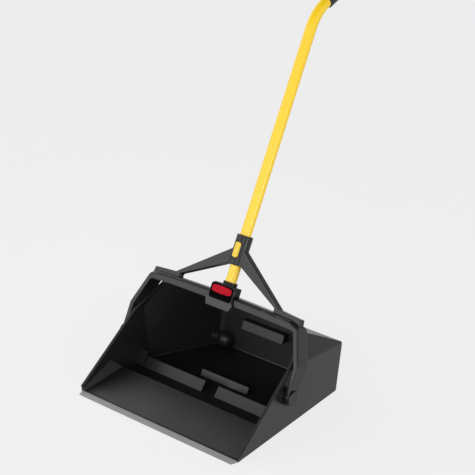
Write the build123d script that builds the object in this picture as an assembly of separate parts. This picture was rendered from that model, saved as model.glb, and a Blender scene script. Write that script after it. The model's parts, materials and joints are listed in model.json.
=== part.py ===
from build123d import *
import os
from math import cos, radians, sin, sqrt

# Upright dustpan: a moulded pan, and a yoke with a handle that swings on two side pivots.
# X runs across the width, the mouth faces -Y and Z is up. Pan pieces are written with y measured
# from the side walls' front tips. Yoke pieces are written in the yoke's own frame, which has its
# origin on the pivot axis, w towards the back and h up along the handle.

# Reference point
origin_setback = 250.0      # wall tips to the part's origin, along the floor

# Pan shell
pan_half_front = 241.5      # half width over the walls at their tips, on the floor
pan_half_rear = 218.0       # half width at the rear, on the floor
pan_length = 391.0          # wall tips to the rear wall's foot
wall_flare = 1.7            # outward lean of the side walls, degrees
rear_height = 123.0         # top of the rear wall
rear_lean = 16.0            # the rear wall's top stands this far behind its foot
wall = 4.0                  # shell thickness
floor_thickness = 4.0
rear_radius = 9.0           # outer edges round the rear wall
edge_radius = 3.2           # outer edges along the floor
floor_radius = 4.0          # inner edges along the floor
hood_corner_radius = 12.0   # upper corners inside the mouth
corner_radius = 16.0        # where the diagonal walls meet the rear wall

# Mouth outline, seen from the side
tip_height = 12.0           # blunt front end of the side walls
bend_y = 180.0              # where the walls' edge turns inwards over the hips
bend_z = 149.7
hip_inset = 26.5            # mouth's top corners stand this far inside the bend
hood_setback = 12.5         # hood's front edge behind the crossbar's back face
hood_drop = 2.1             # hood's front edge below the crossbar's underside
lip_rise = 10.0             # flange on the hood's front edge, above the crossbar's underside
lip_end_inset = 8.0         # flange's ends inside the mouth's top corners
rim_proud = 3.0             # bead along the mouth's edge
rim_depth = 8.0

# Entry ramp and lip
lip_height = 3.0
lip_land = 14.0             # solid lip ahead of the hollow under the ramp
ramp_length = 117.0
ramp_height = 25.0
ramp_skin = 3.0
ramp_rib = 3.0
ramp_rib_pitch = 78.0
cheek_tip_rise = 7.0        # cheek's top above the ramp at the wall tips
cheek_peak_y = 91.0
cheek_peak_rise = 28.0      # cheek's top above the ramp at its peak
cheek_edge = 3.0            # cheek's thickness at its top, beyond the wall
cheek_lean = 18.0           # lean of the cheek's face, degrees

# Dams on the floor
dam_thickness = 4.0
dam_y = 174.0               # front foot of the two front dams
dam_height = 25.0
dam_lean = 40.0
dam_gap_half = 20.0         # half of the gap between the front dams
dam_slot = 3.0              # slot between a front dam and its wall post
dam_post = 16.0             # wall post's reach from the wall
dam_post_extra = 9.0        # wall post above the dam
back_dam_y = 231.4
back_dam_height = 18.3
back_dam_lean = 31.0
back_dam_half = 72.0

# Finger recess in the rear wall
recess_half = 63.5
recess_low = 75.2
recess_high = 95.5
recess_depth_low = 27.4
recess_depth_high = 20.8
recess_wall = 3.0

# Wheel pockets in the rear corners
pocket_length = 174.0       # along the side wall
pocket_width = 73.0         # along the rear wall
wheel_radius = 25.5
wheel_width = 28.0
wheel_inset = 26.0          # wheel's middle inside the rear corner
wheel_lift = 0.5            # wheel clear of the floor
wheel_room = 3.0            # space round the wheel in the rear wall
wheel_side_gap = 0.3
wheel_dish = 3.0            # recess in the wheel's sides
wheel_rim = 6.0
hub_radius = 9.0
axle_radius = 4.0
axle_setback = 11.0         # axle ahead of the rear wall's foot
axle_boss_radius = 13.0     # boss that shows inside the pan
axle_knob_radius = 21.0     # its round end
axle_boss_reach = 51.5      # boss and knob beyond the diagonal wall
axle_seat = 18.0            # knob left beyond the axle's inner end
axle_outer_boss = 9.0
axle_outer_hold = 5.5       # axle held this deep in the outer boss
snap_width = 6.8            # slot that the axle snaps through
axle_play = 0.08            # wheel on axle, radial

# Blade on the lip
blade_reach = 16.3
blade_tip = 1.0
blade_half_front = 233.0
blade_half_rear = 239.0
tongue_thickness = 1.4
tongue_depth = 9.0
tongue_height = 0.9         # tongue's underside above the floor
tongue_inset = 2.0          # tongue's ends inside the groove's

# Pivots
pivot_y = 168.5
pivot_z = 90.0
pin_radius = 5.0
pin_head_radius = 9.0
pin_head = 3.0
pivot_boss_radius = 20.0
pivot_boss_height = 6.4
insert_radius = 6.6         # threaded insert in the boss
insert_length = 8.4
thread_radius = 4.0
thread_length = 8.0
bush_flange = 3.0
bush_flange_radius = 13.0
bush_wall = 3.0
pivot_gap = 0.3             # faces that turn past each other
pivot_play = 0.05           # pin in bush, radial
cap_radius = 18.6
cap_thickness = 4.6
cap_groove = 1.4            # groove between the cap and the eye
cap_step = 3.0              # depth of that groove
cap_plug = 1.6

# Yoke
yoke_lean = 27.9            # handle's lean back from upright, degrees
yoke_front = 18.0           # front face ahead of the pivot plane
yoke_back = 16.0            # crossbar's back face behind the pivot plane
arm_back = 25.0             # arms' back edge, between the bend and the crossbar
arm_back_top = 146.0        # where that edge turns in to the crossbar
arm_thickness = 12.0
arm_bend = 72.6             # height of the arms' bend above the pivot
arm_lean_in = 33.0          # crossbar's ends inside the arms
eye_radius = 19.3
bar_under_mid = 147.3       # crossbar's underside at the middle
bar_arch = 4.5              # rise of the crossbar's underside at the middle
bar_height = 21.7           # crossbar's height at the middle
bar_shoulder = 200.0        # where its top turns down to its ends
bar_shoulder_drop = 4.5     # its top at the shoulders below its top at the middle
bar_end = 14.0              # its height at the ends
bar_round = 9.0             # rounding of its upper front edge
yoke_corner = 9.0           # inner corners between the crossbar and the arms
yoke_edge = 3.5             # rounding of the yoke's other long edges
eye_edge = 3.0              # rounding of the eyes' outer edges
rest_gap = 0.4              # crossbar ahead of the hood's flange at rest

# Brace
brace_half = 9.0            # half of the brace's thickness
collar_radius = 19.4
collar_low = 237.6
collar_length = 72.0
leg_root = 36.0             # leg's height at the collar
foot_inner = 142.5
foot_inner_rise = 19.0      # leg's underside above the crossbar's ends, at the foot
foot_shoulder = 157.0
foot_shoulder_rise = 20.2
foot_corner = 5.0           # rounding inside the foot
foot_tip_inset = 4.5        # foot's outer end inside the crossbar's end, at its top
foot_tip_rise = 15.6
foot_tip_flare = 3.0        # how far that end spreads towards its bottom
brace_edge = 1.5

# Socket block and front cover
block_half = 33.0
block_top = 188.6
block_back = 6.0
block_floor = 3.0           # under the tube's end
block_edge = 2.5
neck_radius = 17.2          # round socket behind the block
neck_height = 8.0
cover_half = 34.0
cover_low = 131.6
cover_top = 186.6
cover_thickness = 6.0
cover_bevel = 14.0          # underside runs up to the crossbar over this height
cover_flare = 6.0           # how far it spreads in front of the crossbar
cover_flare_high = 154.0    # where it begins to spread
cover_flare_low = 147.5     # where it is widest
cover_edge = 5.0            # rounding of its outline's corners
badge_width = 62.0
badge_height = 33.0
badge_thickness = 1.2
badge_drop = 2.6            # badge's top edge below the cover's top
badge_radius = 4.0
badge_gap = 0.3

# Handle
tube_radius = 13.25
tube_wall = 1.5
tube_straight = 811.0       # pivot to the start of the bend
tube_bend_radius = 107.0
tube_bend = 41.0            # turn of the bend, degrees
grip_length = 100.0
grip_radius = 16.5
grip_solid = 24.0           # solid end beyond the tube
grip_round = 6.0
hang_radius = 5.0
hang_inset = 12.0           # hanging hole's middle ahead of the grip's end

# Release button
button_width = 19.5
button_height = 40.0
button_thickness = 2.4
button_gap = 1.1
pocket_floor = 1.2          # collar left under the button
trunnion_radius = 1.1
trunnion_length = 1.9
trunnion_end_gap = 0.3
trunnion_depth = 5.9        # behind the collar's face
ear_half = 3.0
ear_thickness = 1.6
tooth_drop = 12.8           # latch tooth below the button's middle
tooth_half = 3.0
tooth_height = 5.0
tooth_entry = 0.85          # tooth inside the tube's surface
spring_strip = 0.4
spring_half = 3.0
spring_low = 4.5            # above the button's middle
spring_high = 16.5

# Screws
screw_radius = 2.0
screw_head_radius = 4.0
screw_head = 2.4
screw_length = 22.0         # screws that hold the brace and the block
cover_screw_length = 16.0
screw_sink = 4.0            # depth of the head's counterbore
brace_screw_inner = 155.0
brace_screw_outer = 200.0
socket_screw_x = 25.0
cover_screw_x = 21.0
tube_screw_length = 9.0
tube_screw_sink = 1.4

# Fits
fit = 0.05                  # pieces that are fixed in each other

# Worked-out sizes
lean_sin = sin(radians(yoke_lean))
lean_cos = cos(radians(yoke_lean))
flare = sin(radians(wall_flare)) / cos(radians(wall_flare))
taper = (pan_half_front - pan_half_rear) / pan_length
ramp_slope = (ramp_height - lip_height) / ramp_length
rear_slope = rear_lean / rear_height
reach = 4 * pan_length      # longer than anything that it cuts
over = 1.0                  # how far a cut runs past the face that it opens


def wall_x(y, z):
    """Half width over the side walls' outer faces."""
    return pan_half_front - taper * y + flare * z


def rear_y(z):
    """The rear wall's outer face."""
    return pan_length + rear_slope * z


def ramp_z(y):
    """The ramp's upper surface."""
    return lip_height + ramp_slope * y


def bar_under(x):
    """Underside of the crossbar, which rises towards its middle."""
    return bar_under_mid - bar_arch * (x / crossbar_half) ** 2


def from_yoke(w, h):
    """A point of the yoke's frame as y and z of the pan's."""
    return pivot_y + w * lean_cos + h * lean_sin, pivot_z - w * lean_sin + h * lean_cos


boss_face = wall_x(pivot_y, pivot_z) + pivot_boss_height
arm_inner = boss_face + pivot_gap + bush_flange
arm_outer = arm_inner + arm_thickness
crossbar_half = arm_outer - arm_lean_in
bar_top_mid = bar_under_mid + bar_height
bar_top_shoulder = bar_top_mid - bar_shoulder_drop
bar_top_end = bar_under_mid - bar_arch + bar_end
bore_radius = tube_radius + fit
mouth_half = wall_x(bend_y, bend_z) - hip_inset
mouth_y, mouth_z = from_yoke(yoke_back + hood_setback, bar_under_mid - hood_drop)
yoke_place = Location((0, pivot_y, pivot_z), (-yoke_lean, 0, 0))
part_place = Location((0, -origin_setback, 0))


# Tools that shape the pieces
def across(outline, low, high):
    """A y-z outline carried along x."""
    return Pos(low, 0, 0) * extrude(Plane.YZ * Polygon(*outline, align=None), high - low, dir=(1, 0, 0))


def front_to_back(outline, front, back):
    """An x-h outline of the yoke's frame, as a sketch, carried along w."""
    return extrude(Plane.XZ.offset(-front) * outline, back - front, dir=(0, 1, 0))


def rod_x(radius, low, high, y=0.0, z=0.0):
    """A round bar along x."""
    return Pos((low + high) / 2, y, z) * Rot(0, 90, 0) * Cylinder(radius, high - low)


def rod_h(radius, low, high, x=0.0, w=0.0):
    """A round bar along h."""
    return Pos(x, w, (low + high) / 2) * Cylinder(radius, high - low)


def block(x, y, z):
    """A box between two limits on each axis."""
    centre = [(a + b) / 2 for a, b in (x, y, z)]
    return Pos(*centre) * Box(*[b - a for a, b in (x, y, z)])


def both_sides(solid):
    """A right-hand solid and its mirror image."""
    return [solid, mirror(solid, Plane.YZ)]


def behind(solid, plane):
    """What lies behind a plane."""
    return split(solid, bisect_by=plane, keep=Keep.BOTTOM)


def plane_through(a, b, c, outward):
    """The plane through three points, facing the side that outward points to."""
    normal = (Vector(*b) - Vector(*a)).cross(Vector(*c) - Vector(*a))
    if normal.dot(Vector(*outward)) < 0:
        normal = normal * -1
    return Plane(origin=a, z_dir=normal)


# The pan's faces, each a plane that points outwards
def mirrored(plane):
    """A plane on the other side of the middle."""
    o, n = plane.origin, plane.z_dir
    return Plane(origin=(-o.X, o.Y, o.Z), z_dir=(-n.X, n.Y, n.Z))


side_face = Plane(origin=(pan_half_front, 0, 0), z_dir=(1, taper, -flare))
rear_face = Plane(origin=(0, pan_length, 0), z_dir=(0, 1, -rear_slope))
rear_corner = (wall_x(rear_y(rear_height), rear_height), rear_y(rear_height), rear_height)
mouth_corner = (mouth_half, mouth_y, mouth_z)
bend_corner = (wall_x(bend_y, bend_z), bend_y, bend_z)
hood_face = plane_through(mouth_corner, (-mouth_half, mouth_y, mouth_z), rear_corner, (0, 0, 1))
hip_face = plane_through(mouth_corner, bend_corner, rear_corner, (1, 0, 0))
diagonal_face = plane_through(
    (wall_x(pan_length - pocket_length, 0) - wall, pan_length - pocket_length, 0),
    (pan_half_rear - pocket_width, pan_length - wall, 0),
    (pan_half_rear - pocket_width, pan_length - wall, rear_height),
    (1, 1, 0),
)
mouth_outline = [(0, tip_height), (bend_y, bend_z), (mouth_y, mouth_z)]


def pan_hull(inset, floor_z, front_y, hood_inset):
    """The pan's outer form, drawn in by an inset."""
    hull = block((-reach, reach), (front_y, reach), (floor_z, reach))
    for face in (side_face, hip_face):
        hull = behind(hull, face.offset(-inset))
        hull = behind(hull, mirrored(face).offset(-inset))
    hull = behind(hull, rear_face.offset(-inset))
    return behind(hull, hood_face.offset(-hood_inset))


def edges_between(solid, first, second):
    """Edges of a solid that lie in two planes at once."""
    def on(edge, plane):
        return all(abs(plane.to_local_coords(v.center()).Z) < 1e-3 for v in edge.vertices())
    return [e for e in solid.edges() if on(e, first) and on(e, second)]


def mouth_space():
    """Everything ahead of the mouth's edge."""
    (y0, z0), (y1, z1), (y2, z2) = mouth_outline
    climb = reach / (z2 - z1)
    top = (y2 + (y2 - y1) * climb, z2 + (z2 - z1) * climb)
    outline = [(-reach, z0), (y0, z0), (y1, z1), (y2, z2), top, (-reach, top[1])]
    return across(outline, -reach, reach)


def outer_shell():
    """The pan's outer form with its edges rounded, before it is hollowed."""
    hull = pan_hull(0, 0, 0, 0)
    sides = (side_face, mirrored(side_face))
    round_rear = [e for face in (*sides, hood_face) for e in edges_between(hull, rear_face, face)]
    hull = fillet(round_rear, rear_radius)
    ground = [e for e in hull.edges() if all(abs(v.Z) < 1e-3 for v in e.vertices())]
    return fillet([e for e in ground if e.center().Y > 1e-3], edge_radius)


def pan_cavity():
    """The space that holds the debris, above the ramp and the floor."""
    space = pan_hull(wall, floor_thickness, -reach, wall)
    inner = [diagonal_face, mirrored(diagonal_face)]
    for face in inner:
        space = behind(space, face)
    ground = Plane.XY.offset(floor_thickness)
    rear = rear_face.offset(-wall)
    upright = [e for face in inner for e in edges_between(space, rear, face)]
    space = fillet(upright, corner_radius)
    low = [e for e in space.edges() if all(abs(v.Z - floor_thickness) < 1e-3 for v in e.vertices())]
    low = [e for e in low if min(v.Y for v in e.vertices()) > pan_length - pocket_length + over]
    space = fillet(low, floor_radius)
    hood = hood_face.offset(-wall)
    hips = [hip_face.offset(-wall), mirrored(hip_face).offset(-wall)]
    corners = [e for face in hips for e in edges_between(space, hood, face)]
    space = fillet(corners, hood_corner_radius)
    ramp = across([(-reach, -reach), (0, lip_height), (ramp_length, ramp_height), (ramp_length, -reach)],
                  -reach, reach)
    return space - ramp


def under_ramp():
    """The ribbed hollow below the ramp."""
    back = ramp_length - ramp_skin
    outline = [(lip_land, -over), (lip_land, ramp_z(lip_land) - ramp_skin),
               (back, ramp_z(back) - ramp_skin), (back, -over)]
    hollow = across(outline, -reach, reach) & pan_hull(wall, -reach, 0, wall)
    count = int(pan_half_rear / ramp_rib_pitch)
    for i in range(-count, count + 1):
        low = i * ramp_rib_pitch - ramp_rib / 2
        hollow -= block((low, low + ramp_rib), (0, ramp_length), (-2 * over, ramp_height))
    return hollow


def dam(foot_y, height, lean, low_x, high_x):
    """A leaning plate on the floor."""
    run = sin(radians(lean)) / cos(radians(lean))
    depth = dam_thickness / cos(radians(lean))
    foot = floor_thickness / 2
    top_y = foot_y + run * (height - floor_thickness)
    foot_y -= run * (floor_thickness - foot)
    outline = [(foot_y, foot), (foot_y + depth, foot), (top_y + depth, height), (top_y, height)]
    return across(outline, low_x, high_x)


def dams():
    """Two front dams with their wall posts, and the one behind the gap."""
    post_x = wall_x(dam_y, dam_height) - wall - dam_post
    front = dam(dam_y, dam_height, dam_lean, dam_gap_half, post_x - dam_slot)
    post = dam(dam_y, dam_height + dam_post_extra, dam_lean, post_x, reach)
    plates = both_sides(front) + both_sides(post & pan_hull(wall / 2, 0, 0, wall / 2))
    return plates + [dam(back_dam_y, back_dam_height, back_dam_lean, -back_dam_half, back_dam_half)]


def cheek():
    """The right-hand wedge between the ramp's end and its wall."""
    tip = ramp_z(0) + cheek_tip_rise
    peak = ramp_z(cheek_peak_y) + cheek_peak_rise
    outline = [(0, lip_height / 2), (0, tip), (cheek_peak_y, peak), (ramp_length, ramp_height),
               (ramp_length, ramp_height - ramp_skin / 2)]
    body = across(outline, 0, reach) & pan_hull(wall / 2, 0, 0, wall / 2)
    edge = wall + cheek_edge
    lower = 2 * cheek_peak_rise
    spread = lower * sin(radians(cheek_lean)) / cos(radians(cheek_lean))
    face = plane_through((wall_x(0, tip) - edge, 0, tip),
                         (wall_x(cheek_peak_y, peak) - edge, cheek_peak_y, peak),
                         (wall_x(cheek_peak_y, peak) - edge - spread, cheek_peak_y, peak - lower), (1, 0, 0))
    return split(body, bisect_by=face, keep=Keep.TOP)


def finger_recess(grow):
    """The recess behind the rear wall's rail, or its outside when grown by the wall."""
    front_low = rear_y(recess_low) - recess_depth_low + recess_wall
    front_high = rear_y(recess_high) - recess_depth_high + recess_wall
    low = recess_low + recess_wall - grow
    high = recess_high - recess_wall + grow
    back = rear_y(recess_high) + (wall if grow == 0 else -wall / 2)
    outline = [(front_low - grow, low), (front_high - grow, high), (back, high), (back, low)]
    half = recess_half - recess_wall + grow
    return across(outline, -half, half)


# Places round the wheels
axle_y = pan_length - axle_setback
axle_z = wheel_radius + wheel_lift
wheel_x = pan_half_rear - wheel_inset
wheel_in = wheel_x - wheel_width / 2
wheel_out = wheel_x + wheel_width / 2
pocket_front = wall_x(pan_length - pocket_length, 0) - wall
diagonal_run = (pocket_front - pan_half_rear + pocket_width) / (pocket_length - wall)
diagonal_x = pan_half_rear - pocket_width + (pan_length - wall - axle_y) * diagonal_run
axle_in = diagonal_x - axle_boss_reach + axle_seat
axle_out = wheel_out + wheel_side_gap + axle_outer_hold


def wheel_pocket():
    """The open space in the right-hand rear corner."""
    space = pan_hull(wall, -reach, 0, wall)
    space = split(space, bisect_by=diagonal_face.offset(wall), keep=Keep.TOP)
    window = block((wheel_in - wheel_room, wheel_out + wheel_room), (axle_y, reach),
                   (-reach, axle_z + wheel_radius + wheel_room))
    return space + window


def axle_bosses(shell):
    """The right-hand bosses that hold an axle."""
    middle = diagonal_x - axle_boss_reach + axle_knob_radius
    inner = rod_x(axle_boss_radius, middle, wheel_in - wheel_side_gap, axle_y, axle_z)
    inner = (inner + Pos(middle, axle_y, axle_z) * Sphere(axle_knob_radius)) & shell
    outer_end = wall_x(axle_y, axle_z) - wall / 2
    outer = rod_x(axle_outer_boss, wheel_out + wheel_side_gap, outer_end, axle_y, axle_z)
    return [inner, outer]


def axle_seats():
    """The right-hand bore of an axle and the slots that it snaps through."""
    bore = rod_x(axle_radius + fit, axle_in - fit, axle_out + fit, axle_y, axle_z)
    pocket_side = diagonal_x + 2 * wall
    slot_y = (axle_y - snap_width / 2, axle_y + snap_width / 2)
    slot = block((pocket_side, axle_out + fit), slot_y, (-over, axle_z))
    return [bore, slot]


def rim():
    """The bead along the mouth's edge, over the side walls and the hips."""
    inner = [(y + rim_depth, z - rim_depth / 2) for y, z in reversed(mouth_outline)]
    return across(mouth_outline + inner, -reach, reach) & pan_hull(-rim_proud, 0, 0, 0)


def hood_lip():
    """The flange along the hood's front edge, which the crossbar leans on."""
    front = yoke_back + rest_gap
    hood_h = bar_under_mid - hood_drop
    top = bar_under_mid + lip_rise
    slope = Vector(0, rear_corner[1] - mouth_y, rear_corner[2] - mouth_z).normalized()
    rear = (mouth_y + 2 * wall * slope.Y, mouth_z + 2 * wall * slope.Z)
    under = (rear[0] + wall * slope.Z, rear[1] - wall * slope.Y)
    outline = [from_yoke(front, hood_h), from_yoke(front, top), from_yoke(front + wall, top),
               from_yoke(front + wall, hood_h), (mouth_y, mouth_z), rear, under]
    half = mouth_half - lip_end_inset
    return across(outline, -half, half)


def blade_groove():
    """The groove in the lip for the blade's tongue."""
    low = tongue_height - fit
    high = tongue_height + tongue_thickness + fit
    return block((-blade_half_front, blade_half_front), (-over, tongue_depth + fit), (low, high))


def make_pan_body():
    shell = outer_shell()
    body = shell + rim()
    body -= mouth_space()
    body -= pan_cavity()
    body += hood_lip()
    for plate in dams():
        body += plate
    for piece in both_sides(cheek()):
        body += piece
    body += finger_recess(recess_wall)
    body -= finger_recess(0)
    for pocket in both_sides(wheel_pocket()):
        body -= pocket
    for boss in axle_bosses(shell):
        for piece in both_sides(boss):
            body += piece
    for seat in axle_seats():
        for piece in both_sides(seat):
            body -= piece
    body -= under_ramp()
    body -= blade_groove()
    middle = wall_x(pivot_y, pivot_z) - wall / 2
    for piece in both_sides(rod_x(pivot_boss_radius, middle, boss_face, pivot_y, pivot_z)):
        body += piece
    insert_end = boss_face - insert_length - fit
    for piece in both_sides(rod_x(insert_radius + fit, insert_end, boss_face + over, pivot_y, pivot_z)):
        body -= piece
    return body


def make_front_blade():
    """A wedge ahead of the lip, with a tongue in the lip's groove."""
    section = [(-blade_reach, 0), (-blade_reach, blade_tip), (-fit, lip_height), (-fit, 0)]
    wedge = across(section, -blade_half_rear, blade_half_rear)
    for face in (1, -1):
        slant = plane_through((face * blade_half_rear, 0, 0), (face * blade_half_front, -blade_reach, 0),
                              (face * blade_half_rear, 0, 1), (face, 0, 0))
        wedge = behind(wedge, slant)
    half = blade_half_front - tongue_inset
    tongue = block((-half, half), (-over, tongue_depth), (tongue_height, tongue_height + tongue_thickness))
    return wedge + tongue


def make_rear_wheel():
    """A wheel with a dished side round its hub, on the right."""
    wheel = rod_x(wheel_radius, wheel_in, wheel_out, axle_y, axle_z)
    wheel = fillet(wheel.edges().filter_by(GeomType.CIRCLE), wheel_dish / 2)
    for low, high in ((wheel_in - over, wheel_in + wheel_dish), (wheel_out - wheel_dish, wheel_out + over)):
        ring = rod_x(wheel_radius - wheel_rim, low, high, axle_y, axle_z)
        wheel -= ring - rod_x(hub_radius, low, high, axle_y, axle_z)
    return wheel - rod_x(axle_radius + axle_play, wheel_in - over, wheel_out + over, axle_y, axle_z)


def make_rear_axle():
    axle = rod_x(axle_radius, axle_in, axle_out, axle_y, axle_z)
    return chamfer(axle.edges().filter_by(GeomType.CIRCLE), axle_radius / 5)


# Pivot pieces on the right, written in the pan's frame
head_seat = arm_outer - pin_head - pivot_gap - cap_plug - pivot_gap


def make_pivot_pin():
    """A shoulder pin that screws into the boss's insert."""
    thread = rod_x(thread_radius, boss_face - thread_length, boss_face, pivot_y, pivot_z)
    thread = chamfer(thread.edges().sort_by(Axis.X)[:1], thread_radius / 6)
    shank = rod_x(pin_radius, boss_face, head_seat + pivot_gap + pin_head, pivot_y, pivot_z)
    head = rod_x(pin_head_radius, head_seat + pivot_gap, head_seat + pivot_gap + pin_head, pivot_y, pivot_z)
    head = fillet(head.edges().sort_by(Axis.X)[-1:], pin_head / 4)
    return thread + shank + head


def make_pivot_insert():
    insert = rod_x(insert_radius, boss_face - insert_length, boss_face, pivot_y, pivot_z)
    bore = rod_x(thread_radius + fit, boss_face - insert_length - over, boss_face + over, pivot_y, pivot_z)
    return insert - bore


# Pieces of the yoke, written in the yoke's frame
bush_radius = pin_radius + pivot_play + bush_wall


def make_pivot_bush():
    flange = rod_x(bush_flange_radius, boss_face + pivot_gap, arm_inner)
    sleeve = rod_x(bush_radius, boss_face + pivot_gap, head_seat)
    return flange + sleeve - rod_x(pin_radius + pivot_play, boss_face, head_seat + over)


def make_pivot_cap():
    disc = rod_x(cap_radius, arm_outer + cap_groove, arm_outer + cap_thickness)
    disc = fillet(disc.edges().sort_by(Axis.X)[-1:], (cap_thickness - cap_groove) / 2)
    disc += rod_x(cap_radius - cap_step, arm_outer, arm_outer + cap_groove)
    return disc + rod_x(pin_head_radius + pivot_gap - fit, arm_outer - cap_plug, arm_outer)


def bar_top_lines():
    """The crossbar's upper edge, from its left end to its right end."""
    left = (-bar_shoulder, bar_top_shoulder)
    right = (bar_shoulder, bar_top_shoulder)
    return [Line((-crossbar_half, bar_top_end), left), ThreePointArc(left, (0, bar_top_mid), right),
            Line(right, (crossbar_half, bar_top_end))]


def yoke_outline():
    """Front view of the crossbar and the arms."""
    arm_rise = bar_top_end - arm_bend
    slant = sqrt(arm_lean_in ** 2 + arm_rise ** 2)
    side = arm_thickness * slant / arm_rise
    inner_half = crossbar_half - side + bar_end * arm_lean_in / arm_rise
    inner_end = bar_under(inner_half)
    inner_bend = arm_bend - arm_thickness * (slant - arm_rise) / arm_lean_in
    right = Polyline((crossbar_half, bar_top_end), (arm_outer, arm_bend), (arm_outer, 0), (arm_inner, 0),
                     (arm_inner, inner_bend), (inner_half, inner_end))
    under = ThreePointArc((inner_half, inner_end), (0, bar_under_mid), (-inner_half, inner_end))
    left = Polyline((-inner_half, inner_end), (-arm_inner, inner_bend), (-arm_inner, 0), (-arm_outer, 0),
                    (-arm_outer, arm_bend), (-crossbar_half, bar_top_end))
    face = make_face(Curve() + [right, under, left, *bar_top_lines()])
    corners = face.vertices().filter_by(lambda v: abs(abs(v.X) - inner_half) < fit and v.Y < bar_under_mid)
    return fillet(corners, yoke_corner)


def screw(length):
    """A pan-head screw that points up, with its seat at the origin."""
    head = Pos(0, 0, -screw_head / 2) * Cylinder(screw_head_radius, screw_head)
    head = fillet(head.edges().sort_by(Axis.Z)[:1], screw_head / 3)
    shank = Pos(0, 0, length / 2) * Cylinder(screw_radius, length)
    shank = chamfer(shank.edges().sort_by(Axis.Z)[-1:], screw_radius / 2)
    slot = Pos(0, 0, -screw_head) * Box(2 * screw_head_radius, screw_head / 3, screw_head)
    return head + shank - slot


def screw_hole(length):
    """The pilot hole and counterbore of a screw."""
    hole = Pos(0, 0, (length + fit) / 2) * Cylinder(screw_radius + fit, length + fit)
    sink = Pos(0, 0, -screw_sink) * Cylinder(screw_head_radius + 4 * fit, 2 * screw_sink)
    return hole + sink


def bar_screw_places(columns):
    """Places of upright screws whose heads are sunk in the crossbar's underside."""
    return [Location((x, 0, bar_under(x) + screw_sink)) for x in columns]


brace_screw_places = bar_screw_places(
    [side * x for side in (-1, 1) for x in (brace_screw_inner, brace_screw_outer)])
socket_screw_places = bar_screw_places((-socket_screw_x, socket_screw_x))
badge_middle = cover_top - badge_drop - badge_height / 2
cover_screw_h = (bar_top_mid + block_top) / 2
cover_front = -yoke_front - cover_thickness
cover_screw_seat = cover_front + badge_thickness + screw_head + badge_gap
cover_screw_places = [Location((x, cover_screw_seat, cover_screw_h), (-90, 0, 0))
                      for x in (-cover_screw_x, cover_screw_x)]
tube_foot = bar_top_mid + block_floor
tube_screw_h = (tube_foot + block_top) / 2
tube_screw_place = Location((0, neck_radius - tube_screw_sink, tube_screw_h), (90, 0, 0))


def cut_screws(solid, places, length):
    for place in places:
        solid -= place * screw_hole(length)
    return solid


def arm_profile():
    """Side view of the arms, which stand deeper than the crossbar and narrow to the eyes."""
    outline = [(-yoke_front, 0), (-yoke_front, reach), (yoke_back, reach), (yoke_back, bar_top_end),
               (arm_back, arm_back_top), (arm_back, arm_bend), (eye_radius - yoke_edge, 0)]
    return across(outline, -reach, reach)


def on_arm(edge):
    """Whether an edge runs along an arm."""
    heights = [v.Z for v in edge.vertices()]
    outside = abs(edge.center().X) > (crossbar_half + arm_inner) / 2
    return outside and max(heights) - min(heights) > arm_bend / 2


def make_yoke():
    frame = front_to_back(yoke_outline(), -yoke_front, arm_back) & arm_profile()
    clear = mouth_half
    frame -= block((-clear, clear), (yoke_back, reach), (-reach, reach))
    seat = frame & block((-block_half, block_half), (-yoke_front, 0), (0, reach))
    front = frame.edges().filter_by(Plane.XZ).group_by(Axis.Y)[0]
    upper = front.filter_by(lambda e: abs(e.center().X) < crossbar_half - over and e.center().Z > bar_top_end)
    frame = fillet(upper, bar_round)
    frame = fillet([e for e in frame.edges() if on_arm(e)], yoke_edge) + seat
    eye = rod_x(eye_radius, arm_inner, arm_outer)
    for side in both_sides(fillet(eye.edges().sort_by(Axis.X)[-1:], eye_edge)):
        frame += side
    for side in both_sides(rod_x(bush_radius + fit, arm_inner - over, arm_outer + over)):
        frame -= side
    for side in both_sides(rod_x(pin_head_radius + pivot_gap, head_seat, arm_outer + over)):
        frame -= side
    frame = cut_screws(frame, brace_screw_places, screw_length)
    return cut_screws(frame, socket_screw_places, screw_length)


def above_bar(outline):
    """What of a front view lies above the crossbar's upper edge."""
    half = crossbar_half
    sides = Polyline((half, bar_top_end), (half, -reach), (-half, -reach), (-half, bar_top_end))
    return outline - make_face(Curve() + [*bar_top_lines(), sides])


def leg_outline():
    """Front view of the right leg and its foot."""
    tip_x = crossbar_half - foot_tip_inset
    tip = bar_top_end + foot_tip_rise
    return Polygon((0, collar_low + foot_slope * collar_radius), (foot_inner, bar_top_end + foot_inner_rise),
                   (foot_inner, bar_under_mid), (tip_x + foot_tip_flare, bar_under_mid),
                   (tip_x + foot_tip_flare, bar_top_end), (tip_x, tip),
                   (foot_shoulder, bar_top_end + foot_shoulder_rise),
                   (0, collar_low + leg_root + top_slope * collar_radius), align=None)


foot_slope = (collar_low - bar_top_end - foot_inner_rise) / (foot_inner - collar_radius)
top_slope = (collar_low + leg_root - bar_top_end - foot_shoulder_rise) / (foot_shoulder - collar_radius)
button_middle = collar_low + collar_length / 2
pocket_radius = bore_radius + pocket_floor
trunnion_w = -collar_radius + trunnion_depth


def obround(gap, front, back):
    """The button's outline, grown by a gap and carried along w."""
    shape = Rot(0, 0, 90) * SlotOverall(button_height + 2 * gap, button_width + 2 * gap)
    return front_to_back(Pos(0, button_middle) * shape, front, back)


def collar_rod(radius):
    """A round bar as long as the collar."""
    return rod_h(radius, collar_low, collar_low + collar_length)


def latch_tooth(gap):
    """The tooth that holds the tube, grown by a gap."""
    middle = button_middle - tooth_drop
    half = tooth_half + gap
    return block((-half, half), (-collar_radius + button_thickness / 2, -tube_radius + tooth_entry + gap),
                 (middle - tooth_height / 2 - gap, middle + tooth_height / 2 + gap))


def trunnions(radius, length):
    half = button_width / 2
    return both_sides(rod_x(radius, half - ear_thickness, half + length, trunnion_w, button_middle))


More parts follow.
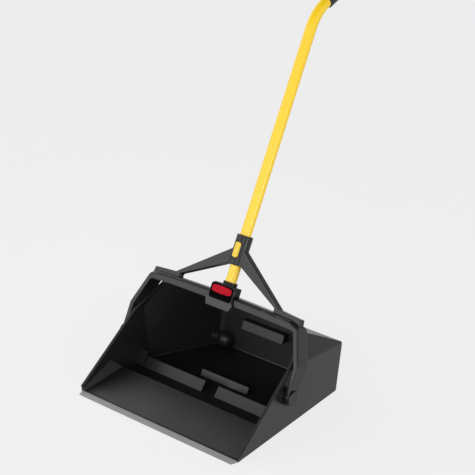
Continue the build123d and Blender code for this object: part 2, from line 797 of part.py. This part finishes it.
def make_handle_brace():
    outline = above_bar(leg_outline())
    corner = outline.vertices().filter_by(lambda v: abs(v.X - foot_inner) < fit).sort_by(Axis.Y)[-1:]
    leg = front_to_back(fillet(corner, foot_corner), -brace_half, brace_half)
    legs = leg + mirror(leg, Plane.YZ)
    rounded = legs.edges().filter_by(Plane.XZ).filter_by(lambda e: e.center().Z > bar_top_mid + brace_edge)
    legs = fillet(rounded, brace_edge)
    collar = collar_rod(collar_radius)
    collar = fillet(collar.edges().filter_by(GeomType.CIRCLE), brace_edge)
    brace = legs + collar
    brace -= rod_h(bore_radius, collar_low - reach, collar_low + reach)
    brace -= obround(button_gap, -collar_radius - over, 0) - collar_rod(pocket_radius)
    brace -= latch_tooth(button_gap)
    for hole in trunnions(trunnion_radius + fit, trunnion_length + trunnion_end_gap):
        brace -= hole
    return cut_screws(brace, brace_screw_places, screw_length)


def make_release_button():
    """A rocking pad flush with the collar, with a latch tooth behind its lower end."""
    skin = collar_rod(collar_radius) - collar_rod(collar_radius - button_thickness)
    pad = obround(0, -collar_radius - over, 0) & skin
    half = button_width / 2
    back = trunnion_w + trunnion_radius
    front = -collar_radius + button_thickness + half ** 2 / (2 * collar_radius) - button_thickness / 2
    ear_h = (button_middle - ear_half, button_middle + ear_half)
    ear = block((half - ear_thickness, half), (front, back), ear_h)
    pad += latch_tooth(0)
    for side in both_sides(ear):
        pad += side
    for side in trunnions(trunnion_radius, trunnion_length):
        pad += side
    return pad


def make_button_spring():
    """A bowed strip between the collar and the button's upper end."""
    floor_w = -pocket_radius - fit
    crown_w = -sqrt((collar_radius - button_thickness) ** 2 - spring_half ** 2) + fit
    low = button_middle + spring_low
    high = button_middle + spring_high
    middle = (low + high) / 2
    outside = ThreePointArc((floor_w - spring_strip, low), (crown_w, middle), (floor_w - spring_strip, high))
    inside = ThreePointArc((floor_w, high), (crown_w + spring_strip, middle), (floor_w, low))
    upper = Line((floor_w - spring_strip, high), (floor_w, high))
    lower = Line((floor_w, low), (floor_w - spring_strip, low))
    strip = make_face(Curve() + [outside, upper, inside, lower])
    return Pos(-spring_half, 0, 0) * extrude(Plane.YZ * strip, 2 * spring_half, dir=(1, 0, 0))


def make_socket_block():
    front = Rectangle(2 * block_half, block_top - bar_under_mid)
    outline = above_bar(Pos(0, (block_top + bar_under_mid) / 2) * front)
    body = front_to_back(outline, -yoke_front, block_back)
    upper = body.edges().group_by(Axis.Z)[-1]
    upright = body.edges().filter_by(Axis.Z).filter_by(lambda e: e.center().Y > 0)
    body = fillet(upper.filter_by(lambda e: e.center().Y > -yoke_front / 2) + upright, block_edge)
    body += rod_h(neck_radius, bar_top_mid, block_top + neck_height)
    body -= rod_h(bore_radius, tube_foot - fit, reach)
    body = cut_screws(body, socket_screw_places, screw_length)
    body = cut_screws(body, cover_screw_places, cover_screw_length)
    return cut_screws(body, [tube_screw_place], tube_screw_length)


def make_front_cover():
    """A plate on the fronts of the block and the crossbar, widest over the crossbar and bevelled below."""
    side = [(cover_half, cover_low), (cover_half + cover_flare, cover_flare_low),
            (cover_half, cover_flare_high), (cover_half, cover_top)]
    outline = Polygon(*side, *[(-x, h) for x, h in reversed(side)], align=None)
    outline = fillet(outline.vertices(), cover_edge)
    plate = front_to_back(outline, cover_front, -yoke_front - fit)
    profile = [(cover_front, cover_low), (cover_front, cover_top), (-yoke_front - fit, cover_top),
               (-yoke_front - fit, cover_low + cover_bevel)]
    plate &= across(profile, -reach, reach)
    plate -= badge_prism(badge_gap, cover_front - over, cover_front + badge_thickness)
    return cut_screws(plate, cover_screw_places, cover_screw_length)


def badge_prism(gap, front, back):
    """The badge's outline, grown by a gap."""
    shape = RectangleRounded(badge_width + 2 * gap, badge_height + 2 * gap, badge_radius + gap)
    return front_to_back(Pos(0, badge_middle) * shape, front, back)


def make_badge():
    return badge_prism(0, cover_front, cover_front + badge_thickness)


# The handle's path: up along h, round the bend and on along the grip
bend_start = Vector(0, 0, tube_straight)
bend_centre = bend_start + Vector(0, tube_bend_radius, 0)
grip_axis = Vector(0, sin(radians(tube_bend)), cos(radians(tube_bend)))
bend_end = bend_centre + Vector(0, -cos(radians(tube_bend)), sin(radians(tube_bend))) * tube_bend_radius
tube_end = bend_end + grip_axis * (grip_length - grip_solid)


def tube_solid(radius):
    """A round bar along the handle's path."""
    half_turn = radians(tube_bend / 2)
    middle = bend_centre + Vector(0, -cos(half_turn), sin(half_turn)) * tube_bend_radius
    path = Curve() + [Line((0, 0, tube_foot), bend_start), ThreePointArc(bend_start, middle, bend_end),
                      Line(bend_end, tube_end)]
    return sweep(Pos(0, 0, tube_foot) * Circle(radius), path=path.wire())


def make_handle_tube():
    tube = tube_solid(tube_radius) - tube_solid(tube_radius - tube_wall)
    tube -= latch_tooth(button_gap)
    return tube - tube_screw_place * screw_hole(tube_screw_length)


def make_handle_grip():
    """A sleeve on the tube's end, with a solid end and a hole to hang it by."""
    frame = Plane(origin=bend_end, x_dir=(1, 0, 0), z_dir=grip_axis)
    grip = Pos(0, 0, grip_length / 2) * Cylinder(grip_radius, grip_length)
    ends = grip.edges().filter_by(GeomType.CIRCLE).sort_by(Axis.Z)
    grip = fillet(ends[-1:], grip_round)
    front_edge = grip.edges().filter_by(GeomType.CIRCLE).sort_by(Axis.Z)[:1]
    grip = fillet(front_edge, (grip_radius - tube_radius) / 2)
    sleeve = grip_length - grip_solid + fit
    grip -= Pos(0, 0, sleeve / 2) * Cylinder(tube_radius + fit, sleeve)
    grip -= rod_x(hang_radius, -reach, reach, 0, grip_length - hang_inset)
    return frame.location * grip


def screws(places, length):
    return Compound(children=[place * screw(length) for place in places])


# Every node, in the part's frame
def pan_nodes():
    nodes = {"pan_body": make_pan_body(), "front_blade": make_front_blade()}
    sided = {"rear_wheel": make_rear_wheel(), "rear_axle": make_rear_axle(),
             "pivot_pin": make_pivot_pin(), "pivot_insert": make_pivot_insert()}
    for name, solid in sided.items():
        nodes[name + "_right"], nodes[name + "_left"] = both_sides(solid)
    return nodes


def yoke_nodes():
    nodes = {
        "yoke": make_yoke(),
        "handle_brace": make_handle_brace(),
        "brace_screws": screws(brace_screw_places, screw_length),
        "socket_block": make_socket_block(),
        "socket_screws": screws(socket_screw_places, screw_length),
        "front_cover": make_front_cover(),
        "cover_screws": screws(cover_screw_places, cover_screw_length),
        "badge": make_badge(),
        "tube_screw": tube_screw_place * screw(tube_screw_length),
        "handle_tube": make_handle_tube(),
        "handle_grip": make_handle_grip(),
        "release_button": make_release_button(),
        "button_spring": make_button_spring(),
    }
    for name, solid in {"pivot_bush": make_pivot_bush(), "pivot_cap": make_pivot_cap()}.items():
        nodes[name + "_right"], nodes[name + "_left"] = both_sides(solid)
    return {name: yoke_place * solid for name, solid in nodes.items()}


def main():
    os.makedirs("parts", exist_ok=True)
    for name, solid in {**pan_nodes(), **yoke_nodes()}.items():
        export_step(part_place * solid, f"parts/{name}.step")


main()
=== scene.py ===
"""Looks of an upright dustpan: its finishes, badge, leaf spring, light and camera."""
import json
import math

import bpy
import numpy as np
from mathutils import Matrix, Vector


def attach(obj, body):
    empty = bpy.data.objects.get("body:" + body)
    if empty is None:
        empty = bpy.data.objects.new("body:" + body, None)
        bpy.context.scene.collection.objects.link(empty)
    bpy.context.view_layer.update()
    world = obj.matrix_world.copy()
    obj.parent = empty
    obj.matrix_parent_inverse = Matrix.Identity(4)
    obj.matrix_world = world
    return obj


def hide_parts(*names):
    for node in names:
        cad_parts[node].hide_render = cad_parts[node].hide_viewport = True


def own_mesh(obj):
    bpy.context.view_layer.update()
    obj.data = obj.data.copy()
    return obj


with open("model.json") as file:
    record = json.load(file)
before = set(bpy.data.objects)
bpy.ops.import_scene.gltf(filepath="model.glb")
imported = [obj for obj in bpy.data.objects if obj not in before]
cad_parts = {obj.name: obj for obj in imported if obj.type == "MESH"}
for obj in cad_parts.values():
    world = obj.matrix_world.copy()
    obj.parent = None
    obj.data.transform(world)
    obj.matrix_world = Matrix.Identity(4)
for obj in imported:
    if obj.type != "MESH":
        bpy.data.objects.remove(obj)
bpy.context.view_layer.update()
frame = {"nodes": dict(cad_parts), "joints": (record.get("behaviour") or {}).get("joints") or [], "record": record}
nodes = frame["nodes"]
joints = {joint["name"]: joint for joint in frame["joints"]}

# The yoke's own frame: its origin is on the pivot axis, w points back and h up along the handle
PIVOT = np.array(joints["yoke_pivot"]["pos_m"])
LEAN = math.radians(27.9)   # lean of the handle from upright
BACK = np.array([0.0, math.cos(LEAN), -math.sin(LEAN)])
UP = np.array([0.0, math.sin(LEAN), math.cos(LEAN)])
ACROSS = np.array([1.0, 0.0, 0.0])

# Camera, in front of the mouth, to the right and above
CAMERA_PLACE = (2.0089, -2.3623, 1.7777)
CAMERA_TARGET = (-0.312484, 0.407161, 0.150)
CAMERA_LENS = 113.11
SENSOR = 36.0

# Studio
BACKGROUND = (0.91, 0.91, 0.91)
FLOOR_COLOUR = (0.8, 0.8, 0.8)
FLOOR_GLOW = 0.86           # share of the even pale grey in what is seen of the floor
FLOOR_SIZE = 30.0
SURROUND = 1.15             # brightness of the studio's walls
CEILING = 0.15              # brightness of its ceiling
CEILING_EDGE = (0.60, 0.72)  # how far a direction points up where the ceiling begins and is whole
REAR_WALL = 0.2             # brightness of a wall behind the object and to its right
REAR_TOWARDS = (0.3, 0.95, 0.0)
REAR_EDGE = (0.70, 0.86)    # how far a direction points that way where that wall begins and is whole

# Lamps: place, target, side, brightness and spread in degrees
LAMPS = {
    "front_softbox": ((-1.65, -2.6, 1.25), (0, 0, 0.25), 2.0, 1.85, 180.0),
    "left_softbox": ((-1.15, 0.3, 1.15), (-0.15, -0.2, 0.0), 1.4, 0.22, 75.0),
    "camera_softbox": ((2.2, -3.9, 1.6), (0, 0, 0.5), 2.2, 3.0, 180.0),
    "right_softbox": ((2.8, -0.3, 0.55), (0, 0, 0.35), 0.8, 7.5, 180.0),
}

# Release button's yellow face, inside a border of painted shade where its recess lies in shadow
BUTTON_MIDDLE = 0.2736      # h of its middle
BUTTON_HALF = (0.0076, 0.0172)  # half of its width and of its height
BUTTON_CORNER = 0.004       # radius of its corners
BUTTON_FADE = 0.0008        # width of the step from the face to the border of painted shade

# Leaf spring under the button
LEAF_STRIP = 0.0004         # thickness of the strip
LEAF_RINGS = 33             # rings of points along it

# Badge on the front cover
BADGE_FLANGE = 0.0022       # surround's thin flange beyond the recess
BADGE_SIDE = 0.0048         # red panel inside the flange's edge, at its sides
BADGE_DROP = 0.0026         # red panel below the flange's upper edge
BADGE_SHARE = 0.53          # red panel's share of the surround's height
BADGE_ARCH = 0.0023         # rise of the panel's upper and lower edges
BADGE_PROUD = 0.0007        # panel ahead of the surround
BADGE_EDGE = 0.0006         # rounding of both edges
BADGE_CORNER = 10.0         # superellipse exponent of the surround's outline
PANEL_CORNER = 9.0          # and of the panel's
EDGE_STEPS = 6              # rings over a rounded edge
OUTLINE_POINTS = 96         # points round an outline

# Edges in the finishes
BEVEL_SAMPLES = 6
EDGE_TURN = (0.01, 0.25)    # how far a rounded normal turns where a paler edge, worn and with a painted highlight, begins and is whole


def yoke_point(x, w, h):
    """Points of the yoke's frame in the part's frame: the pivot plus x, w and h along their axes."""
    x, w, h = np.broadcast_arrays(x, w, h)
    return PIVOT + x[..., None] * ACROSS + w[..., None] * BACK + h[..., None] * UP


def yoke_coordinates(points):
    """The x, w and h of points of the part's frame."""
    offset = points - PIVOT
    return offset @ ACROSS, offset @ BACK, offset @ UP


def mesh_points(name):
    """All corners of a CAD node as an array."""
    mesh = nodes[name].data
    points = np.empty(len(mesh.vertices) * 3, np.float32)
    mesh.vertices.foreach_get("co", points)
    return points.reshape(-1, 3).astype(float)


# Meshes from arrays
def ring_faces(count, around):
    """Four-sided faces between neighbouring rings of a stack, with the same number of points around each."""
    ring, point = np.meshgrid(np.arange(count - 1), np.arange(around), indexing="ij")
    after = (point + 1) % around
    corners = [ring * around + point, ring * around + after, (ring + 1) * around + after,
               (ring + 1) * around + point]
    return np.stack(corners, -1).reshape(-1, 4)


def fan_faces(ring, pole):
    """Triangles from a ring of points to one point."""
    return np.stack([ring, np.roll(ring, -1), np.full_like(ring, pole)], -1)


def add_piece(name, points, faces, body, finish):
    """A smooth-shaded piece that rides on a body. Its faces already wind outwards."""
    mesh = bpy.data.meshes.new(name)
    mesh.from_pydata(points.tolist(), [], [face.tolist() for group in faces for face in group])
    mesh.validate()
    mesh.shade_smooth()
    piece = bpy.data.objects.new(name, mesh)
    bpy.context.scene.collection.objects.link(piece)
    mesh.materials.append(finish)
    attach(piece, body)
    return piece


def closed_rings(rings):
    """Points and faces of a stack of closed rings, with poles that close the first and the last."""
    count, around = rings.shape[:2]
    points = np.concatenate([rings.reshape(-1, 3), rings[:1].mean(1), rings[-1:].mean(1)])
    first = np.arange(around)
    last = first + (count - 1) * around
    faces = [ring_faces(count, around), fan_faces(first[::-1], count * around),
             fan_faces(last, count * around + 1)]
    return points, faces


# Shader maths
class Wire:
    """A shader socket. Python's operators on it add Math nodes."""

    def __init__(self, shading, socket):
        self.shading = shading
        self.socket = socket

    def math(self, operation, first, second, clamp=False):
        """A Math node on two values."""
        settings = {"operation": operation, "use_clamp": clamp}
        return self.shading.add("ShaderNodeMath", settings, {0: first, 1: second})

    def __add__(self, other):
        return self.math("ADD", self, other)

    def __radd__(self, other):
        return self.math("ADD", other, self)

    def __sub__(self, other):
        return self.math("SUBTRACT", self, other)

    def __rsub__(self, other):
        return self.math("SUBTRACT", other, self)

    def __mul__(self, other):
        return self.math("MULTIPLY", self, other)

    def __rmul__(self, other):
        return self.math("MULTIPLY", other, self)

    def __pow__(self, other):
        return self.math("POWER", self, other)

    def between(self, low, high):
        """0 below low, 1 above high and a smooth step between them."""
        settings = {"interpolation_type": "SMOOTHSTEP"}
        inputs = {"Value": self, "From Min": low, "From Max": high}
        return self.shading.add("ShaderNodeMapRange", settings, inputs)


class Shading:
    """A tree of shader nodes."""

    def __init__(self, tree):
        self.tree = tree

    def put(self, socket, value):
        """Sets a socket to a number or a colour, or links a wire to it."""
        if isinstance(value, Wire):
            self.tree.links.new(value.socket, socket)
        elif socket.type == "RGBA":
            socket.default_value = (*value, 1.0)
        else:
            socket.default_value = value

    def add(self, kind, settings, inputs, output=0):
        """One node: its settings first, then its sockets' values or links."""
        node = self.tree.nodes.new(kind)
        for name, value in settings.items():
            setattr(node, name, value)
        for key, value in inputs.items():
            self.put(node.inputs[key], value)
        return Wire(self, node.outputs[output])

    def dot(self, first, second):
        """How far two directions point the same way."""
        settings = {"operation": "DOT_PRODUCT"}
        return self.add("ShaderNodeVectorMath", settings, {0: first, 1: second}, "Value")


class Finish(Shading):
    """A procedural material on one Principled shader."""

    def __init__(self, name, **constants):
        self.material = bpy.data.materials.new(name)
        self.material.use_nodes = True
        super().__init__(self.material.node_tree)
        self.shader = self.tree.nodes["Principled BSDF"]
        self.surface(**constants)

    def surface(self, **values):
        """Sets the shader's sockets, whose names have _ for a space."""
        for name, value in values.items():
            self.put(self.shader.inputs[name.replace("_", " ")], value)

    def place(self):
        """The point's place in the part's frame."""
        return self.add("ShaderNodeTexCoord", {}, {}, "Object")

    def noise(self, scale, detail, stretch=None):
        """Noise with scale waves to the metre and detail finer layers. Stretch changes its scale by axis."""
        vector = self.place()
        if stretch is not None:
            vector = self.add("ShaderNodeMapping", {}, {"Vector": vector, "Scale": stretch})
        return self.add("ShaderNodeTexNoise", {}, {"Vector": vector, "Scale": scale, "Detail": detail})

    def mix(self, factor, first, second):
        """Two colours mixed by a factor."""
        return self.add("ShaderNodeMix", {"data_type": "RGBA"}, {0: factor, 6: first, 7: second}, 2)

    def soft_edges(self, radius):
        """The surface's normal, rounded over the edges."""
        return self.add("ShaderNodeBevel", {"samples": BEVEL_SAMPLES}, {"Radius": radius})

    def yoke_place(self):
        """The x, w and h of a point, which a Mapping node turns into the yoke's frame."""
        shift = tuple(-float(PIVOT @ axis) for axis in (ACROSS, BACK, UP))
        inputs = {"Vector": self.place(), "Rotation": (LEAN, 0.0, 0.0), "Location": shift}
        moved = self.add("ShaderNodeMapping", {}, inputs)
        return [self.add("ShaderNodeSeparateXYZ", {}, {"Vector": moved}, axis) for axis in "XYZ"]

    def edge_mask(self, normal):
        """1 where a rounded normal turns away from the true one."""
        true = self.add("ShaderNodeNewGeometry", {}, {}, "True Normal")
        return (1.0 - self.dot(normal, true)).between(*EDGE_TURN)

    def bump(self, height, distance, strength, normal=None):
        """A normal that a height tilts, from the surface's own or from a given one."""
        inputs = {"Height": height, "Distance": distance, "Strength": strength}
        if normal is not None:
            inputs["Normal"] = normal
        return self.add("ShaderNodeBump", {}, inputs)


# Finishes
def shade(colour, share):
    """A colour made darker or paler."""
    return tuple(share * value for value in colour)


def moulded_plastic(name, colour, edge_or_painted_light_colour, roughness, grain, edge, ior=1.45):
    """Moulded plastic: a fine grain, faint flow marks and paler edges that are partly wear and partly a painted
    highlight.
    """
    finish = Finish(name, IOR=ior)
    normal = finish.soft_edges(edge)
    worn_and_painted_highlight_edge = finish.edge_mask(normal)
    flow = finish.noise(scale=9.0, detail=3.0)
    body = finish.mix(flow, shade(colour, 0.8), shade(colour, 1.2))
    scuff = finish.noise(scale=420.0, detail=4.0, stretch=(1.0, 0.12, 1.0)).between(0.62, 0.8)
    texture = dict(distance=grain, strength=0.5, normal=normal)
    finish.surface(
        # Paler edges: partly wear, partly a painted highlight along the rounded edges.
        Base_Color=finish.mix(worn_and_painted_highlight_edge * 0.7 + scuff * 0.05, body, edge_or_painted_light_colour),
        Roughness=roughness + (flow - 0.5) * 0.12 - worn_and_painted_highlight_edge * 0.08,
        Normal=finish.bump(finish.noise(scale=1100.0, detail=2.0), **texture),
    )
    return finish.material


def painted_tube(name, colour, deep):
    """Powder coat: a soft orange-peel surface under a thin gloss."""
    finish = Finish(name, IOR=1.5, Coat_Roughness=0.12)
    patch = finish.noise(scale=14.0, detail=3.0)
    peel = finish.noise(scale=520.0, detail=1.0)
    finish.surface(
        Base_Color=finish.mix(patch, colour, deep),
        Roughness=0.18 + patch * 0.08,
        Coat_Weight=0.05 + patch * 0.05,
        Normal=finish.bump(peel, distance=0.0003, strength=0.03),
    )
    return finish.material


def button_painted_shade(finish):
    """1 on the button's border of painted shade, outside a rectangle with rounded corners: the distance from a
    rectangle that is smaller by the corners' radius, against that radius."""
    x, _, h = finish.yoke_place()
    beyond = [offset.math("MAXIMUM", offset.math("ABSOLUTE", offset, 0.0) - (half - BUTTON_CORNER), 0.0)
              for offset, half in zip((x, h - BUTTON_MIDDLE), BUTTON_HALF)]
    away = (beyond[0] * beyond[0] + beyond[1] * beyond[1]) ** 0.5
    return away.between(BUTTON_CORNER, BUTTON_CORNER + BUTTON_FADE)


def gloss_plastic(name, colour, edge_or_painted_light_colour, edge, roughness, gloss, ior, painted_shade_border=None):
    """Polished plastic with faint ripples, fine dust in its gloss and edges of another colour, or a border of
    painted shade.
    """
    finish = Finish(name, IOR=ior, Coat_Roughness=0.06)
    normal = finish.soft_edges(edge)
    edge_or_painted_shade = finish.edge_mask(normal) if painted_shade_border is None else painted_shade_border(finish)
    ripple = finish.noise(scale=60.0, detail=2.0)
    dust = finish.noise(scale=900.0, detail=2.0).between(0.55, 0.8)
    face = finish.mix(ripple, shade(colour, 0.88), colour)
    finish.surface(
        # Edges of another colour, or the button's border of painted shade.
        Base_Color=finish.mix(edge_or_painted_shade, face, edge_or_painted_light_colour),
        Roughness=roughness + dust * 0.08,
        Coat_Weight=gloss * (1.0 - dust * 0.3),
        Normal=finish.bump(ripple, distance=0.0006, strength=0.08, normal=normal),
    )
    return finish.material


def soft_rubber(name, colour, roughness, line_scale):
    """Soft rubber: a dull bloom and fine lines across the part."""
    finish = Finish(name, IOR=1.45)
    normal = finish.soft_edges(radius=0.0008)
    bloom = finish.noise(scale=25.0, detail=4.0)
    lines = finish.noise(scale=line_scale, detail=2.0, stretch=(0.03, 1.0, 1.0))
    finish.surface(
        Base_Color=finish.mix(bloom * 0.6 + lines * 0.4, shade(colour, 0.8), shade(colour, 1.15)),
        Roughness=roughness + (lines - 0.5) * 0.15,
        Normal=finish.bump(lines, distance=0.0006, strength=0.25, normal=normal),
    )
    return finish.material


def plated_metal(name, colour, roughness):
    """Plated metal with turning marks and a slightly cloudy film."""
    finish = Finish(name, Metallic=1.0)
    normal = finish.soft_edges(radius=0.0003)
    cloud = finish.noise(scale=120.0, detail=3.0)
    turned = finish.noise(scale=1800.0, detail=1.0, stretch=(1.0, 0.08, 0.08))
    finish.surface(
        Base_Color=finish.mix(cloud, shade(colour, 0.75), colour),
        Roughness=roughness + cloud * 0.15,
        Normal=finish.bump(turned, distance=0.0002, strength=0.15, normal=normal),
    )
    return finish.material


FINISHES = {
    "pan_plastic": moulded_plastic(
        "pan_black", colour=(0.0075, 0.0078, 0.0083), edge_or_painted_light_colour=(0.018, 0.018, 0.0185),
        roughness=0.40, grain=0.0002, edge=0.0012, ior=1.42),
    "yoke_plastic": moulded_plastic(
        "yoke_black", colour=(0.005, 0.0052, 0.0056), edge_or_painted_light_colour=(0.02, 0.02, 0.021),
        roughness=0.30, grain=0.0002, edge=0.001, ior=1.4),
    "block_plastic": moulded_plastic(
        "block_black", colour=(0.004, 0.0042, 0.0046), edge_or_painted_light_colour=(0.012, 0.012, 0.0125),
        roughness=0.3, grain=0.0002, edge=0.001, ior=1.25),
    # The cover is the yoke's black plastic made paler: painted light on its front face and on its embossed
    # lettering.
    "cover_plastic": moulded_plastic(
        "cover_black_painted_light", colour=(0.018, 0.018, 0.019), edge_or_painted_light_colour=(0.05, 0.05, 0.052),
        roughness=0.38, grain=0.0003, edge=0.001),
    "wheel_plastic": moulded_plastic(
        "wheel_black", colour=(0.03, 0.03, 0.032), edge_or_painted_light_colour=(0.08, 0.08, 0.082),
        roughness=0.5, grain=0.0003, edge=0.0008),
    "bush_nylon": moulded_plastic(
        "bush_white", colour=(0.6, 0.58, 0.52), edge_or_painted_light_colour=(0.7, 0.69, 0.65),
        roughness=0.4, grain=0.0002, edge=0.0004),
    "tube_paint": painted_tube("handle_yellow", colour=(0.93, 0.62, 0.011), deep=(0.91, 0.59, 0.010)),
    # The button's dark border is painted shade of the recess round it.
    "button_plastic": gloss_plastic(
        "button_yellow", colour=(0.86, 0.57, 0.010), edge_or_painted_light_colour=(0.02, 0.010, 0.002),
        edge=0.0006, roughness=0.22, gloss=0.4, ior=1.35, painted_shade_border=button_painted_shade),
    "badge_plate": gloss_plastic(
        "badge_black", colour=(0.003, 0.003, 0.0035), edge_or_painted_light_colour=(0.005, 0.005, 0.006),
        edge=0.0006, roughness=0.5, gloss=0.0, ior=1.03),
    "blade_rubber": soft_rubber("blade_grey", colour=(0.30, 0.30, 0.305), roughness=0.5, line_scale=700.0),
    "grip_rubber": soft_rubber("grip_black", colour=(0.018, 0.018, 0.019), roughness=0.55, line_scale=500.0),
    "steel": plated_metal("zinc_plate", colour=(0.56, 0.56, 0.58), roughness=0.28),
    "brass": plated_metal("turned_brass", colour=(0.72, 0.5, 0.18), roughness=0.25),
}
BADGE_RED = gloss_plastic(
    "badge_red", colour=(0.46, 0.003, 0.016), edge_or_painted_light_colour=(0.2, 0.002, 0.008),
    edge=0.001, roughness=0.45, gloss=0.05, ior=1.1)

# Nodes whose finish differs from their slot's
OWN_FINISH = {"socket_block": "block_plastic"}

for entry in frame["record"]["subparts"]:
    mesh = nodes[entry["node"]].data
    mesh.materials.clear()
    mesh.materials.append(FINISHES[OWN_FINISH.get(entry["node"], entry["material_slot"])])


# Badge and leaf spring
def panel_rings(outline, steps):
    """Rings of a raised plate: middle + (outline - middle) * (1 - inset / half size), at each step's w."""
    middle = outline.mean(0)
    half_size = np.abs(outline - middle).max(0)
    rings = []
    for inset, w in steps:
        drawn_in = middle + (outline - middle) * (1 - inset / half_size)
        rings.append(np.concatenate([drawn_in, np.full((len(outline), 1), w)], 1))
    return np.stack(rings)


def barrel_outline(half_width, low, high, arch, corner):
    """A superellipse whose upper and lower edges arch: x = half_width * cos(t) ** (2 / corner) and
    h = middle + (half height - arch * (x / half_width) ** 2) * sin(t) ** (2 / corner), with signs kept."""
    turn = np.linspace(0, 2 * np.pi, OUTLINE_POINTS, endpoint=False)
    power = 2 / corner
    x = half_width * np.sign(np.cos(turn)) * np.abs(np.cos(turn)) ** power
    half = (high - low) / 2 - arch * (x / half_width) ** 2
    h = (high + low) / 2 + half * np.sign(np.sin(turn)) * np.abs(np.sin(turn)) ** power
    return np.stack([x, h], -1)


def make_badge():
    """A flanged black plate with a raised red panel, in the cover's recess. Both edges are quarter rounds of
    the radius BADGE_EDGE: the inset is radius * (1 - cos(t)) and w is front + radius * (1 - sin(t))."""
    x, w, h = yoke_coordinates(mesh_points("badge"))
    half = x.max() + BADGE_FLANGE
    low, high = h.min(), h.max() + BADGE_FLANGE
    back = w.min()
    front = back - BADGE_EDGE
    rounded = [(BADGE_EDGE * (1 - math.cos(turn)), front + BADGE_EDGE * (1 - math.sin(turn)))
               for turn in np.linspace(0, np.pi / 2, EDGE_STEPS)]
    outline = barrel_outline(half, low, high, 0.0, BADGE_CORNER)
    rings = panel_rings(outline, [(0.0, back)] + rounded)
    points, faces = closed_rings(yoke_point(rings[..., 0], rings[..., 2], rings[..., 1]))
    plate = add_piece("badge_surround", points, faces, "yoke", FINISHES["badge_plate"])
    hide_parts("badge")
    panel_high = high - BADGE_DROP
    panel_low = panel_high - BADGE_SHARE * (high - low)
    outline = barrel_outline(half - BADGE_SIDE, panel_low, panel_high, BADGE_ARCH, PANEL_CORNER)
    raised = [(inset, depth - BADGE_PROUD) for inset, depth in rounded]
    rings = panel_rings(outline, [(0.0, front + BADGE_EDGE / 2)] + raised)
    points, faces = closed_rings(yoke_point(rings[..., 0], rings[..., 2], rings[..., 1]))
    add_piece("badge_panel", points, faces, "yoke", BADGE_RED)


def make_leaf_spring():
    """A bowed strip under the button: w = feet - rise * (1 - s * s), with s from -1 to 1 along h."""
    x, w, h = yoke_coordinates(mesh_points("button_spring"))
    feet, middle = w.max(), (h.max() + h.min()) / 2
    along = np.linspace(-1, 1, LEAF_RINGS)
    ahead = feet - (feet - w.min() - LEAF_STRIP) * (1 - along ** 2)
    side = x.max() * np.array([1, -1, -1, 1])
    depth = -LEAF_STRIP * np.array([0, 0, 1, 1])
    height = middle + (h.max() - middle) * along
    points, faces = closed_rings(yoke_point(side[None], ahead[:, None] + depth, height[:, None]))
    leaf = add_piece("button_leaf", points, faces, "yoke", FINISHES["steel"])
    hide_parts("button_spring")
    anchor = yoke_point(np.array(0.0), feet, middle)
    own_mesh(leaf)


make_badge()
make_leaf_spring()


# Stage
def pale_floor():
    """A wide flat floor. What sees it directly gets an even pale grey with a faint shadow."""
    corners = [(-FLOOR_SIZE, -FLOOR_SIZE, 0), (FLOOR_SIZE, -FLOOR_SIZE, 0), (FLOOR_SIZE, FLOOR_SIZE, 0),
               (-FLOOR_SIZE, FLOOR_SIZE, 0)]
    mesh = bpy.data.meshes.new("floor")
    mesh.from_pydata(corners, [], [(0, 1, 2, 3)])
    floor = bpy.data.objects.new("floor", mesh)
    bpy.context.scene.collection.objects.link(floor)
    finish = Finish("floor_pale", Base_Color=FLOOR_COLOUR, Roughness=1.0, Specular_IOR_Level=0.0)
    rays = [finish.add("ShaderNodeLightPath", {}, {}, ray)
            for ray in ("Is Camera Ray", "Is Glossy Ray", "Is Transmission Ray")]
    seen = rays[0].math("ADD", rays[0] + rays[1], rays[2], clamp=True)
    glow = finish.add("ShaderNodeEmission", {}, {"Color": BACKGROUND, "Strength": 1.0})
    shaded = Wire(finish, finish.shader.outputs[0])
    both = finish.add("ShaderNodeMixShader", {}, {0: seen * FLOOR_GLOW, 1: shaded, 2: glow})
    output = finish.tree.nodes["Material Output"]
    finish.put(output.inputs["Surface"], both)
    mesh.materials.append(finish.material)


def studio_world():
    """An even, bright surround with a dark ceiling and a dim wall behind the object."""
    world = bpy.data.worlds.new("studio")
    world.use_nodes = True
    bpy.context.scene.world = world
    shading = Shading(world.node_tree)
    direction = shading.add("ShaderNodeTexCoord", {}, {}, "Generated")
    backwards = shading.dot(direction, REAR_TOWARDS)
    upwards = shading.add("ShaderNodeSeparateXYZ", {}, {"Vector": direction}, "Z")
    surround = world.node_tree.nodes["Background"]
    shading.put(surround.inputs["Color"], (1.0, 1.0, 1.0))
    walls = backwards.between(*REAR_EDGE) * (REAR_WALL - SURROUND) + SURROUND
    above = upwards.between(*CEILING_EDGE)
    shading.put(surround.inputs["Strength"], walls * (1.0 - above) + above * CEILING)


def area_light(name, place, target, size, radiance, spread):
    """A square soft light that faces a target, within a spread in degrees. Its power is pi times its area
    times its brightness."""
    data = bpy.data.lights.new(name, "AREA")
    data.shape = "SQUARE"
    data.size = size
    data.energy = math.pi * size ** 2 * radiance
    data.spread = math.radians(spread)
    lamp = bpy.data.objects.new(name, data)
    bpy.context.scene.collection.objects.link(lamp)
    lamp.visible_camera = False
    lamp.location = place
    direction = Vector(target) - Vector(place)
    lamp.rotation_euler = direction.to_track_quat("-Z", "Y").to_euler()


def add_camera():
    """The camera, aimed at its target."""
    data = bpy.data.cameras.new("camera")
    data.lens = CAMERA_LENS
    data.sensor_width = SENSOR
    camera = bpy.data.objects.new("camera", data)
    bpy.context.scene.collection.objects.link(camera)
    camera.location = CAMERA_PLACE
    direction = Vector(CAMERA_TARGET) - Vector(CAMERA_PLACE)
    camera.rotation_euler = direction.to_track_quat("-Z", "Y").to_euler()
    bpy.context.scene.camera = camera


pale_floor()
studio_world()
for lamp_name, lamp_settings in LAMPS.items():
    area_light(lamp_name, *lamp_settings)
add_camera()
bpy.context.scene.view_settings.view_transform = "Standard"
